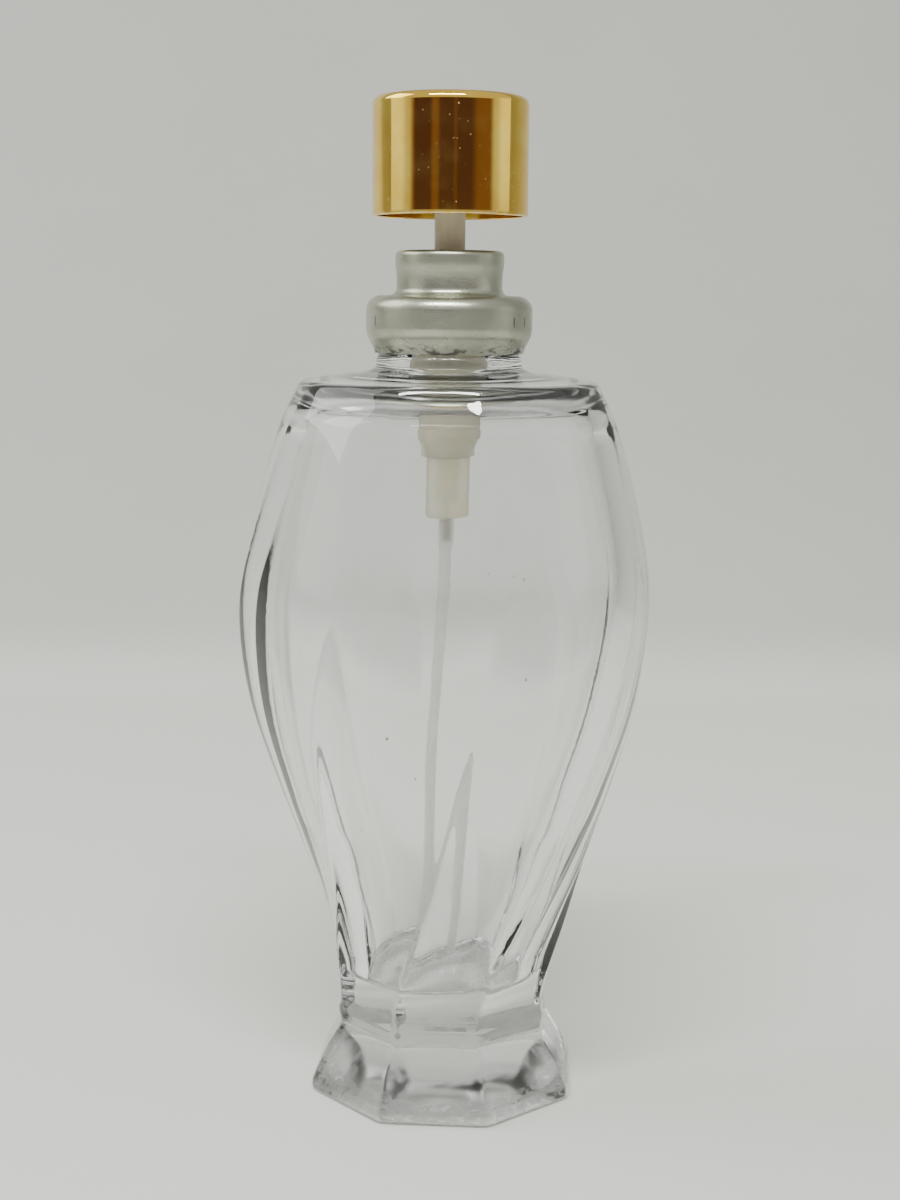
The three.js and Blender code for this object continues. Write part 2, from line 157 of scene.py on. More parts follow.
class Wiring:
    """The one way that nodes are made and joined, in any node tree."""

    def __init__(self, tree: bpy.types.NodeTree) -> None:
        """Takes the tree that the nodes go in."""
        self.tree = tree

    def node(
        self, kind: str, settings: dict[str, Any] | None = None, inputs: dict[Any, Any] | None = None
    ) -> bpy.types.Node:
        """Makes any node.

        Args:
            kind: The node's type.
            settings: The node's own properties, which are set first.
            inputs: A value, a socket or a Signal for each input, by name or number.

        Returns:
            The node.
        """
        made = self.tree.nodes.new(kind)
        for name, value in (settings or {}).items():
            setattr(made, name, value)
        for key, value in (inputs or {}).items():
            self.feed(made.inputs[key], value)
        return made

    def feed(self, socket: bpy.types.NodeSocket, value: Any) -> None:
        """Links a Signal or a socket into an input, or sets a plain value on it.

        Args:
            socket: The input.
            value: What it is to have.
        """
        if isinstance(value, Signal):
            self.tree.links.new(value.socket, socket)
        elif isinstance(value, bpy.types.NodeSocket):
            self.tree.links.new(value, socket)
        else:
            socket.default_value = value

    def number(self, kind: str, settings: dict[str, Any], inputs: dict[Any, Any]) -> Signal:
        """Makes a node and wraps its first output."""
        return Signal(self, self.node(kind, settings, inputs).outputs[0])

    def blend(self, low: Any, high: Any, share: Signal) -> bpy.types.NodeSocket:
        """Mixes two colours.

        Args:
            low: The colour, or a colour's socket, at share 0.
            high: The colour, or a colour's socket, at share 1.
            share: How much of the second colour shows.

        Returns:
            The mixed colour's socket.
        """
        ends = {"Factor": share, 6: self._colour(low), 7: self._colour(high)}
        return self.node("ShaderNodeMix", {"data_type": "RGBA"}, ends).outputs[2]

    def _colour(self, value: Any) -> Any:
        """Adds the alpha that a colour socket wants, and leaves sockets alone."""
        return value if isinstance(value, bpy.types.NodeSocket) else (*value, 1.0)


class Paint(Wiring):
    """One procedural material in the making."""

    def __init__(self, name: str) -> None:
        """Starts a material with a Principled shader and the object's own coordinates."""
        self.material = bpy.data.materials.new(name)
        self.material.use_nodes = True
        super().__init__(self.material.node_tree)
        self.shader = self.tree.nodes["Principled BSDF"]
        self.place = self.node("ShaderNodeTexCoord").outputs["Object"]
        apart = self.node("ShaderNodeSeparateXYZ", inputs={0: self.place})
        self.x, self.y, self.z = (Signal(self, socket) * (1 / MM) for socket in apart.outputs)

    def grain(self, size: float, detail: float = 2.0, stretch: Sequence[float] = (1, 1, 1)) -> Signal:
        """Gives a noise pattern between about 0.3 and 0.7.

        Args:
            size: The pattern's size in millimetres.
            detail: How many finer layers it has.
            stretch: How many times longer the pattern is along X, Y and Z.

        Returns:
            The pattern.
        """
        scale = tuple(1 / share for share in stretch)
        turned = self.node("ShaderNodeMapping", inputs={"Vector": self.place, "Scale": scale})
        looks = {"Vector": turned.outputs[0], "Scale": 1 / (size * MM), "Detail": detail}
        return self.number("ShaderNodeTexNoise", {"noise_dimensions": "3D"}, looks)

    def relief(self, height: Signal, depth: float) -> bpy.types.NodeSocket:
        """Turns a height pattern into a normal, with its full depth in millimetres."""
        return self.node("ShaderNodeBump", inputs={"Height": height, "Distance": depth * MM}).outputs[0]

    def finish(self, **values: Any) -> bpy.types.Material:
        """Sets the shader's inputs.

        Args:
            **values: What each input gets, named with underscores for spaces.

        Returns:
            The finished material.
        """
        for name, value in values.items():
            self.feed(self.shader.inputs[name.replace("_", " ")], value)
        return self.material


@dataclass(frozen=True)
class PressedGlass:
    """Clear fire-polished glass: moulding waves, a chilled ceiling, smudges and a rubbed, stippled foot."""

    roof: float
    reach: float
    smudge_rough: float = 0.035
    rub_rough: float = 0.34
    stipple_rough: float = 0.15
    chill_rough: float = 0.16
    wave_depth: float = 0.035
    clear: tuple[float, float, float] = (0.985, 0.99, 0.988)
    smudged: tuple[float, float, float] = (0.95, 0.96, 0.955)
    index: float = 1.5

    def material(self) -> bpy.types.Material:
        """Builds the material.

        Returns:
            The material, with its nodes.
        """
        paint = Paint("pressed_glass")
        smudge = paint.grain(6.0, 5.0).ramp(0.58, 0.75)
        rubbed = paint.z.ramp(0.55, 0.12) * paint.grain(0.8, 4.0).ramp(0.3, 0.6)
        across = paint.x * paint.x + paint.y * paint.y
        stipple = paint.z.ramp(1.5, 1.1) * across.ramp(144.0, 130.0)
        inner = across.ramp((self.reach + 0.3) ** 2, (self.reach - 0.1) ** 2)
        under = paint.z.ramp(self.roof - 5.5, self.roof - 2.8)
        over = paint.z.ramp(self.roof + 1.1, self.roof + 0.5)
        chilled = inner * under * over
        wave = paint.grain(5.0, 1.0, (1, 1, 2.5)) + 0.12 * paint.grain(0.9)
        worn = self.smudge_rough * smudge + self.rub_rough * rubbed + self.stipple_rough * stipple
        return paint.finish(
            Base_Color=paint.blend(self.clear, self.smudged, smudge),
            Roughness=worn + self.chill_rough * chilled,
            Transmission_Weight=1.0,
            IOR=self.index,
            Normal=paint.relief(wave, self.wave_depth),
        )


@dataclass(frozen=True)
class SatinAluminium:
    """Lacquered satin aluminium, marked by the crimping jaws and scuffed along the crimped edge."""

    edge: float
    band: float
    bright: tuple[float, float, float] = (0.46, 0.475, 0.385)
    dull: tuple[float, float, float] = (0.37, 0.385, 0.305)
    scuffed: tuple[float, float, float] = (0.10, 0.095, 0.085)
    jaws: tuple[float, ...] = (-60.5, 49.7, 62.9, 131, 144, -128)
    jaw_half: float = 0.022
    jaw_core: float = 0.010
    satin_depth: float = 0.012

    def material(self) -> bpy.types.Material:
        """Builds the material.

        Returns:
            The material, with its nodes.
        """
        paint = Paint("satin_aluminium")
        cloud = paint.grain(4.0, 3.0).ramp(0.35, 0.65)
        satin = paint.grain(0.12, 3.0)
        crimped = paint.z.ramp(self.edge + 1.25, self.edge + 0.2)
        scuff = paint.grain(0.9, 6.0, (1, 1, 0.4)).ramp(0.5, 0.6) * crimped
        dust = paint.grain(0.35, 2.0).ramp(0.7, 0.76)
        marks = self._jaw_marks(paint)
        worn = scuff + 0.75 * marks
        metal = paint.blend(self.bright, self.dull, cloud)
        height = satin + 2.5 * paint.grain(1.6) - 3.0 * marks - 1.5 * scuff
        return paint.finish(
            Base_Color=paint.blend(metal, self.scuffed, worn + 0.5 * dust),
            Metallic=1.0 - 0.5 * scuff,
            Roughness=0.26 + 0.08 * cloud + 0.25 * worn,
            Normal=paint.relief(height, self.satin_depth),
        )

    def _jaw_marks(self, paint: Paint) -> Signal:
        """Draws the short upright dents that the crimping jaws left round the band.

        Args:
            paint: The paint that they go in.

        Returns:
            The dents, which are 1 at their middle.
        """
        turn = paint.x.beside(-1.0 * paint.y)
        marks = 0.0 * turn
        for degrees in self.jaws:
            middle = math.radians(degrees)
            left = turn.ramp(middle - self.jaw_half, middle - self.jaw_core)
            marks = marks + left * turn.ramp(middle + self.jaw_half, middle + self.jaw_core)
        above = paint.z.ramp(self.band - 0.6, self.band - 0.35)
        return marks * above * paint.z.ramp(self.band + 0.6, self.band + 0.35)


@dataclass(frozen=True)
class GoldMirror:
    """Bright gold anodised aluminium with dust, fine wear at its rims and faint polishing haze."""

    rim: float
    deep: tuple[float, float, float] = (0.88, 0.57, 0.09)
    light: tuple[float, float, float] = (0.93, 0.66, 0.12)
    worn: tuple[float, float, float] = (0.90, 0.74, 0.40)
    polish_depth: float = 0.004

    def material(self) -> bpy.types.Material:
        """Builds the material.

        Returns:
            The material, with its nodes.
        """
        paint = Paint("gold_mirror")
        haze = paint.grain(3.5, 4.0).ramp(0.42, 0.66)
        dust = paint.grain(0.3, 1.0).ramp(0.755, 0.785)
        rub = paint.z.ramp(self.rim + 0.45, self.rim) * paint.grain(0.7, 4.0).ramp(0.4, 0.62)
        colour = paint.blend(self.deep, self.light, haze)
        return paint.finish(
            Base_Color=paint.blend(colour, self.worn, 0.7 * rub + 0.6 * dust),
            Metallic=1.0,
            Roughness=0.05 + 0.04 * haze + 0.3 * dust + 0.12 * rub,
            Normal=paint.relief(paint.grain(2.4, 1.0, (1, 1, 5)) + 0.4 * dust, self.polish_depth),
        )


@dataclass(frozen=True)
class MouldedPlastic:
    """Injection-moulded plastic: a cloudy colour, a fine skin and some light passing through."""

    name: str
    pale: tuple[float, float, float]
    shade: tuple[float, float, float]
    clearness: float = 0.0
    polish: float = 0.35
    glow: float = 0.0
    glow_depth: float = 0.8
    index: float = 1.49
    skin_depth: float = 0.006

    def material(self) -> bpy.types.Material:
        """Builds the material.

        Returns:
            The material, with its nodes.
        """
        paint = Paint(self.name)
        cloud = paint.grain(2.2, 3.0).ramp(0.36, 0.64)
        flow = paint.grain(0.7, 2.0, (1, 1, 4)).ramp(0.35, 0.65)
        return paint.finish(
            Base_Color=paint.blend(self.pale, self.shade, 0.65 * cloud + 0.35 * flow),
            Roughness=self.polish + 0.08 * cloud,
            Transmission_Weight=self.clearness,
            Subsurface_Weight=self.glow,
            Subsurface_Radius=(1.0, 0.8, 0.5),
            Subsurface_Scale=self.glow_depth * MM,
            IOR=self.index,
            Normal=paint.relief(paint.grain(0.25, 2.0) + 2.0 * flow, self.skin_depth),
        )


@dataclass(frozen=True)
class DrawnSteel:
    """Stainless wire and balls with faint drawing lines."""

    bright: tuple[float, float, float] = (0.66, 0.67, 0.69)
    dull: tuple[float, float, float] = (0.45, 0.46, 0.48)
    line_depth: float = 0.003

    def material(self) -> bpy.types.Material:
        """Builds the material.

        Returns:
            The material, with its nodes.
        """
        paint = Paint("drawn_steel")
        lines = paint.grain(0.15, 3.0, (1, 1, 3)).ramp(0.35, 0.65)
        return paint.finish(
            Base_Color=paint.blend(self.bright, self.dull, lines),
            Metallic=1.0,
            Roughness=0.2 + 0.15 * lines,
            Normal=paint.relief(lines, self.line_depth),
        )


@dataclass(frozen=True)
class SoftSeal:
    """Grey elastomer, dull and slightly mottled."""

    pale: tuple[float, float, float] = (0.26, 0.25, 0.235)
    dark: tuple[float, float, float] = (0.17, 0.165, 0.155)
    mottle_depth: float = 0.02

    def material(self) -> bpy.types.Material:
        """Builds the material.

        Returns:
            The material, with its nodes.
        """
        paint = Paint("soft_seal")
        mottle = paint.grain(0.8, 4.0).ramp(0.35, 0.65)
        return paint.finish(
            Base_Color=paint.blend(self.pale, self.dark, mottle),
            Roughness=0.62 + 0.15 * mottle,
            Normal=paint.relief(mottle, self.mottle_depth),
        )


NATURAL = MouldedPlastic(
    "natural_plastic", (1.0, 0.965, 0.79), (0.96, 0.91, 0.68), clearness=0.6, polish=0.32, glow=0.5
)
IVORY = MouldedPlastic("ivory_plastic", (0.62, 0.55, 0.40), (0.53, 0.46, 0.32), polish=0.36, glow=0.2)
CLEAR = MouldedPlastic(
    "clear_tube_plastic", (1.0, 1.0, 0.98), (0.96, 0.96, 0.93), clearness=0.82, index=1.25
)


# ---------------------------------------------------------------- turning


class Corner(NamedTuple):
    """One corner of an outline: its radius, height and fillet, and how much facets and waves touch it."""

    radius: float
    height: float
    fillet: float = 0.0
    facets: float = 0.0
    waves: float = 0.0


class Turning:
    """An outline that is spun about the Z axis into a closed shell."""

    def __init__(self, corners: Sequence[Corner], ring: bool = False, arc: int = 6) -> None:
        """Lays the outline out as a chain of edges and rounds its corners.

        Args:
            corners: The outline, from the axis to the axis, or round a ring's section.
            ring: Whether the last corner joins the first.
            arc: How many segments each fillet has.
        """
        self.mesh = bmesh.new()
        self.facets = self.mesh.verts.layers.float.new("facets")
        self.waves = self.mesh.verts.layers.float.new("waves")
        chain = [self._vert(corner) for corner in corners]
        ends = chain[1:] + chain[:1] if ring else chain[1:]
        for start, end in zip(chain, ends):
            self.mesh.edges.new((start, end))
        for vert, corner in zip(chain, corners):
            if corner.fillet:
                self._round(vert, corner.fillet * MM, arc)

    def _vert(self, corner: Corner) -> bmesh.types.BMVert:
        """Adds one corner as a vertex.

        Args:
            corner: The corner.

        Returns:
            Its vertex, which holds its share of facets and waves.
        """
        vert = self.mesh.verts.new((corner.radius * MM, 0.0, corner.height * MM))
        vert[self.facets] = corner.facets
        vert[self.waves] = corner.waves
        return vert

    def _round(self, vert: bmesh.types.BMVert, fillet: float, arc: int) -> None:
        """Bevels one corner of the outline into an arc that stays within its edges.

        Args:
            vert: The corner's vertex.
            fillet: How much of each edge the arc takes, in metres.
            arc: How many segments it has.
        """
        room = FILLET_ROOM * min(edge.calc_length() for edge in vert.link_edges)
        bmesh.ops.bevel(
            self.mesh, geom=[vert], offset=min(fillet, room), offset_type="OFFSET",
            affect="VERTICES", segments=arc, profile=0.5, material=-1,
        )

    def spin(self, segments: int) -> bmesh.types.BMesh:
        """Spins the outline a full turn and closes the seam and the poles.

        Args:
            segments: How many steps the turn has.

        Returns:
            The closed shell, its faces pointing out.
        """
        bmesh.ops.spin(
            self.mesh, geom=self.mesh.verts[:] + self.mesh.edges[:], cent=(0, 0, 0), axis=AXIS,
            dvec=(0, 0, 0), angle=math.tau, steps=segments, use_merge=True, use_duplicate=False,
        )
        bmesh.ops.remove_doubles(self.mesh, verts=self.mesh.verts, dist=MERGE)
        bmesh.ops.recalc_face_normals(self.mesh, faces=self.mesh.faces)
        return self.mesh


def place(
    name: str, mesh: bmesh.types.BMesh, body: Body, node: str, material: bpy.types.Material
) -> bpy.types.Object:
    """Puts a finished mesh in the scene as the piece that stands for a frame node.

    Args:
        name: The piece's name.
        mesh: The finished mesh, which is used up.
        body: The body that the piece rides on.
        node: The frame node that it replaces.
        material: Its material.

    Returns:
        The piece.
    """
    for face in mesh.faces:
        face.smooth = True
    for edge in mesh.edges:
        edge.smooth = edge.calc_face_angle(0.0) < CREASE
    data = bpy.data.meshes.new(name)
    mesh.to_mesh(data)
    mesh.free()
    data.materials.append(material)
    piece = bpy.data.objects.new(name, data)
    bpy.context.scene.collection.objects.link(piece)
    even = piece.modifiers.new("even_shading", "WEIGHTED_NORMAL")
    even.keep_sharp = True
    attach(piece, body.value)
    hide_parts(node)
    log.info("%s: %d faces on %s", name, len(data.polygons), body.value)
    return piece


def dress(material: bpy.types.Material, *nodes: str) -> None:
    """Gives a material to frame nodes that keep their own meshes.

    Args:
        material: The material.
        *nodes: The nodes' names.
    """
    for node in nodes:
        for part in frame["nodes"][node].material_slots:
            part.link = "OBJECT"
            part.material = material
        log.info("%s: dressed in %s", node, material.name)


def level(node: str, top: bool) -> float:
    """Gives the height of a frame node's top or bottom, in millimetres."""
    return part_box(node)[int(top)].z / MM


def reach(node: str) -> float:
    """Gives the radius of a round frame node, in millimetres."""
    low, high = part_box(node)
    return max(high.x, -low.x) / MM


def stroke(joint: str) -> float:
    """Gives how far a sliding joint of the frame travels, in millimetres."""
    start, end = next(row["range_m"] for row in frame["joints"] if row["name"] == joint)
    return (end - start) / MM


def through(stops: Sequence[tuple[float, float]], at: float) -> float:
    """Reads a smooth curve through stops.

    Args:
        stops: Pairs of place and value, in rising order of place.
        at: The place to read.

    Returns:
        The value there, by a cubic with matched slopes.
    """
    if at <= stops[0][0]:
        return stops[0][1]
    if at >= stops[-1][0]:
        return stops[-1][1]
    last = len(stops) - 1
    after = next(i for i, (where, _) in enumerate(stops) if where > at)

    def slope(i: int) -> float:
        """Gives the curve's slope at one stop."""
        (x0, y0), (x1, y1) = stops[max(i - 1, 0)], stops[min(i + 1, last)]
        return (y1 - y0) / (x1 - x0)

    (x0, y0), (x1, y1) = stops[after - 1], stops[after]
    span = x1 - x0
    t = (at - x0) / span
    fall = 2 * t**3 - 3 * t**2 + 1
    lead = (t**3 - 2 * t**2 + t) * span * slope(after - 1)
    tail = (t**3 - t**2) * span * slope(after)
    return fall * y0 + (1 - fall) * y1 + lead + tail


# ---------------------------------------------------------------- the bottle


@dataclass
class TwistedBottle:
    """The glass: a flared foot, a waist, a body whose eight ridges twist, a shoulder and a neck."""

    sides: int = 8
    segments: int = 256
    foot_radius: float = 14.7
    heel: float = 1.1
    punt_radius: float = 10.6
    punt_depth: float = 1.0
    punt_flat: float = 0.62
    punt_fillet: float = 3.4
    waist: float = 7.8
    waist_bead: float = 0.28
    bead_height: float = 1.6
    shoulder: float = 74.0
    shoulder_rise: float = 2.05
    shoulder_radius: float = 15.9
    neck_radius: float = 7.0
    bead_radius: float = 8.0
    lip_height: float = 2.6
    bore: float = 4.35
    floor: float = 12.4
    floor_fillet: float = 1.8
    wall: float = 2.8
    foot_wall: float = 1.2
    thick_from: float = 30.0
    thick_span: float = 18.0
    ceiling_drop: float = 2.75
    ceiling_radius: float = 10.8
    chill_width: float = 3.2
    roof: float = 4.2
    roof_steps: int = 10
    outer_gap: float = 0.55
    inner_gap: float = 0.8
    softness: float = 95.0
    gather: float = 0.72
    pole: float = 0.01
    swell_height: float = 0.09
    swell_length: float = 14.0
    swell_turns: float = 1.7
    ripple_height: float = 0.05
    ripple_pitch: float = 0.45
    seed_depth: float = 1.7

    ridge: tuple[tuple[float, float], ...] = (
        (1.1, 14.7), (2.9, 13.85), (4.7, 12.87), (6.6, 11.8), (7.8, 11.5), (9.4, 11.5), (12.5, 11.85),
        (17.5, 13.0), (24, 14.8), (33, 17.9), (41, 20.45), (48, 21.63), (54, 21.73), (60, 20.6),
        (66, 19.05), (71, 17.4), (74, 15.9),
    )
    twist: tuple[tuple[float, float], ...] = (
        (0, -26.5), (10.5, -26.5), (14.4, -21), (22, -7), (28.7, -1), (39, 4.5), (50, 11.5),
        (62.8, 20), (75, 27),
    )
    flat: tuple[tuple[float, float], ...] = (
        (14, 1.0), (20, 0.9), (26, 0.62), (46, 0.58), (58, 0.3), (64, 0.22),
    )
    seeds: tuple[tuple[float, float, float], ...] = (
        (-17, 41.5, 0.16), (-9, 37.5, 0.11), (22, 47.5, 0.14),
        (75, 30, 0.12), (160, 52, 0.15), (-120, 25, 0.13),
    )

    def build(self) -> None:
        """Turns the outline, twists it, adds the seeds and dresses it."""
        self.lip = level("glass_bottle", True)
        self.neck = self.shoulder + self.shoulder_rise
        self.ceiling = self.neck - self.ceiling_drop
        turning = Turning([*self._outside(), *self._top(), *self._inside()])
        mesh = turning.spin(self.segments)
        self._twist(mesh, turning)
        self._seeds(mesh)
        glass = PressedGlass(roof=self.ceiling, reach=self.ceiling_radius + self.chill_width)
        place("bottle_glass", mesh, Body.BOTTLE, "glass_bottle", glass.material())

    def _outside(self) -> list[Corner]:
        """Lists the punt, the foot's rim, and the flank up to the shoulder.

        Returns:
            The corners, from the axis out and up.
        """
        rings = int((self.shoulder - self.heel) / self.outer_gap)
        heights = [self.heel + (self.shoulder - self.heel) * i / rings for i in range(2, rings + 1)]
        return [
            Corner(0, self.punt_depth, waves=1),
            Corner(self.punt_flat * self.punt_radius, self.punt_depth, self.punt_fillet, waves=1),
            Corner(self.punt_radius, 0, 0.3),
            Corner(self.foot_radius, 0, 0.5, facets=1),
            Corner(self.foot_radius, self.heel, 0.45, facets=1),
            *(Corner(self._ridge(z), z, facets=through(self.flat, z), waves=0.25) for z in heights),
        ]

    def _top(self) -> list[Corner]:
        """Lists the shoulder, the neck, the bead that the collar is crimped under, and the lip.

        Returns:
            The corners, from the shoulder up to the lip's inner edge.
        """
        rise = self.neck - self.shoulder
        bead = self.lip - self.lip_height
        return [
            Corner(self.shoulder_radius - 0.5, self.shoulder + 0.42 * rise, 0.8, 0.18),
            Corner(13.2, self.shoulder + 0.62 * rise, facets=0.1, waves=0.3),
            Corner(10.6, self.shoulder + 0.78 * rise, facets=0.03, waves=0.3),
            Corner(8.3, self.shoulder + 0.9 * rise, 0.7, waves=0.3),
            Corner(self.neck_radius + 0.5, self.neck + 0.2, 0.4),
            Corner(self.neck_radius + 0.5, self.neck + 1.2, 0.4),
            Corner(self.neck_radius, self.neck + 1.7, 0.4, waves=0.6),
            Corner(self.neck_radius, bead - 0.4, 0.4, waves=0.6),
            Corner(self.bead_radius, bead + 0.4, 0.5),
            Corner(self.bead_radius, self.lip, 0.8),
            Corner(self.bore, self.lip, 0.35),
        ]

    def _inside(self) -> list[Corner]:
        """Lists the bore, the cavity's flat ceiling, its roof, its wall and its floor.

        Returns:
            The corners, from the bore down to the axis.
        """
        top = self.ceiling - self.roof
        low = self.floor + self.floor_fillet
        width = self._cavity(top) - self.ceiling_radius
        roof = [
            Corner(self.ceiling_radius + width * math.sin(a), top + self.roof * math.cos(a), waves=0.4)
            for a in (math.radians(90 * i / self.roof_steps) for i in range(self.roof_steps + 1))
        ]
        rings = int((top - low) / self.inner_gap)
        heights = [top + (low - top) * i / rings for i in range(1, rings + 1)]
        corner = self._cavity(low)
        return [
            Corner(self.bore, self.ceiling, 0.6),
            Corner(self.ceiling_radius - 0.95, self.ceiling, 0.25),
            Corner(self.ceiling_radius - 0.62, self.ceiling + 0.34, 0.16),
            Corner(self.ceiling_radius - 0.3, self.ceiling, 0.25),
            *roof,
            *(Corner(self._cavity(z), z, waves=0.6) for z in heights),
            Corner(corner, self.floor, self.floor_fillet, waves=1.6),
            Corner(0.72 * corner, self.floor - 0.05, waves=2.4),
            Corner(0.5 * corner, self.floor - 0.22, waves=2.0),
            Corner(0.25 * corner, self.floor - 0.33, waves=1.0),
            Corner(0, self.floor - 0.35),
        ]

    def _ridge(self, z: float) -> float:
        """Gives the radius of the ridges at a height, with the waist's bead.

        Args:
            z: The height.

        Returns:
            The radius.
        """
        along = (z - self.waist) / self.bead_height
        bead = math.sin(math.pi * along) if 0 < along < 1 else 0.0
        return through(self.ridge, z) + self.waist_bead * bead

    def _cavity(self, z: float) -> float:
        """Gives the cavity's radius at a height, with the wall thicker towards the foot."""
        share = max(0.0, min(1.0, (self.thick_from - z) / self.thick_span))
        return through(self.ridge, z) - (self.wall + self.foot_wall * share)

    def _flattened(self, share: float) -> float:
        """Gives a softened polygon's radius across one of its sides.

        Args:
            share: Where on the side, from 0 at one corner to 1 at the next.

        Returns:
            The radius as a share of the corners' radius.
        """
        half = math.pi / self.sides
        middle = (share - 0.5) * 2 * half
        near = math.cos(middle) ** self.softness
        beside = math.cos(2 * half - abs(middle)) ** self.softness
        return math.cos(half) * (near + beside) ** (-1 / self.softness)

    def _twist(self, mesh: bmesh.types.BMesh, turning: Turning) -> None:
        """Gathers the vertices at the ridges, flattens the sides, turns them, and adds moulding waves.

        Args:
            mesh: The round shell.
            turning: The turning that it comes from, which knows its layers.
        """
        side = math.tau / self.sides
        for vert in mesh.verts:
            radius = math.hypot(vert.co.x, vert.co.y)
            if radius < self.pole * MM:
                continue
            number, share = divmod((math.atan2(vert.co.x, -vert.co.y) % math.tau) / side, 1.0)
            share -= self.gather * math.sin(math.tau * share) / math.tau
            turned = (number + share) * side + math.radians(through(self.twist, vert.co.z / MM))
            radius *= 1 + vert[turning.facets] * (self._flattened(share) - 1)
            around = Vector((math.sin(turned), math.cos(turned), vert.co.z / MM / self.swell_length))
            swell = noise.noise(around * self.swell_turns)
            radius += self.swell_height * MM * vert[turning.waves] * (swell - 1.0)
            ripple = noise.noise(vert.co / MM * self.ripple_pitch)
            vert.co.z += self.ripple_height * MM * max(0.0, vert[turning.waves] - 1) * ripple
            vert.co.x = radius * math.sin(turned)
            vert.co.y = -radius * math.cos(turned)

    def _seeds(self, mesh: bmesh.types.BMesh) -> None:
        """Adds the few tiny bubbles in the wall, as small shells that face inwards.

        Args:
            mesh: The bottle's shell, which they join.
        """
        for degrees, height, size in self.seeds:
            out = through(self.ridge, height) - self.seed_depth
            angle = math.radians(degrees)
            centre = Vector((out * math.sin(angle), -out * math.cos(angle), height)) * MM
            middle = Matrix.Translation(centre)
            made = bmesh.ops.create_icosphere(mesh, subdivisions=2, radius=size * MM, matrix=middle)
            shell = {face for vert in made["verts"] for face in vert.link_faces}
            bmesh.ops.reverse_faces(mesh, faces=list(shell))


# ---------------------------------------------------------------- the crimped collar


@dataclass
class CrimpedCollar:
    """The aluminium collar: a waisted turret over a wide band, crimped in under the glass bead."""

    segments: int = 192
    sheet: float = 0.35
    turret_radius: float = 5.55
    turret_waist: float = 0.16
    skirt_inner: float = 7.25
    band_height: float = 5.85
    hole_lap: float = 0.38
    jaw_height: float = 3.3
    jaws: int = 11
    jaw_sharpness: int = 14
    pinch: float = 0.07
    pinch_height: float = 1.7
    edge_pitch: float = 9.0
    edge_dent: float = 0.03
    edge_lift: float = 0.16

    def build(self) -> None:
        """Turns the collar, pinches its crimped edge and dresses it."""
        self.low, self.high = level("crimp_ferrule", False), level("crimp_ferrule", True)
        self.radius = reach("crimp_ferrule")
        self.hole = reach("pump_stem") - self.hole_lap
        mesh = Turning(self._section(), ring=True, arc=7).spin(self.segments)
        self._pinch(mesh)
        metal = SatinAluminium(edge=self.low, band=self.low + self.jaw_height)
        place("collar_metal", mesh, Body.BOTTLE, "crimp_ferrule", metal.material())
        dress(SoftSeal().material(), "neck_gasket", "stem_seal")

    def _section(self) -> list[Corner]:
        """Lists the sheet's outer face from the crimped edge to the stem's hole, and its inner face back.

        Returns:
            The corners of the closed section.
        """
        low, top, radius, sheet = self.low, self.high, self.radius, self.sheet
        band = low + self.band_height
        turret, waist = self.turret_radius, self.turret_radius - self.turret_waist
        return [
            Corner(self.skirt_inner + sheet, low, 0.12),
            Corner(self.skirt_inner + sheet + 0.18, low + 0.62, 0.3),
            Corner(radius, low + 2.0, 1.25),
            Corner(radius, band, 1.75),
            Corner(waist, band, 1.0),
            Corner(waist, band + 2.1, 0.8),
            Corner(turret, band + 3.1, 0.6),
            Corner(turret, top, 1.2),
            Corner(self.hole, top, 0.08),
            Corner(self.hole, top - sheet),
            Corner(turret - sheet, top - sheet, 0.85),
            Corner(turret - sheet, band + 3.1, 0.4),
            Corner(waist - sheet, band + 2.1, 0.4),
            Corner(waist - sheet, band - sheet, 0.3),
            Corner(radius - sheet, band - sheet, 1.2),
            Corner(radius - sheet, low + 2.15, 0.95),
            Corner(self.skirt_inner + 0.18, low + 0.75, 0.3),
            Corner(self.skirt_inner, low, 0.1),
        ]

    def _pinch(self, mesh: bmesh.types.BMesh) -> None:
        """Draws the skirt in between the jaws and makes its edge slightly uneven.

        Args:
            mesh: The turned collar.
        """
        for vert in mesh.verts:
            above = vert.co.z / MM - self.low
            share = max(0.0, 1 - above / self.pinch_height)
            angle = math.atan2(vert.co.x, -vert.co.y)
            gap = abs(math.cos(0.5 * self.jaws * angle)) ** self.jaw_sharpness
            rough = noise.noise(Vector((math.sin(angle), math.cos(angle), 0.0)) * self.edge_pitch)
            shrink = 1 - share * (self.pinch * gap + self.edge_dent * (rough + 0.5)) / self.radius
            vert.co.x *= shrink
            vert.co.y *= shrink
            vert.co.z += self.edge_lift * MM * share * max(0.0, rough + 0.1)


# ---------------------------------------------------------------- the pump


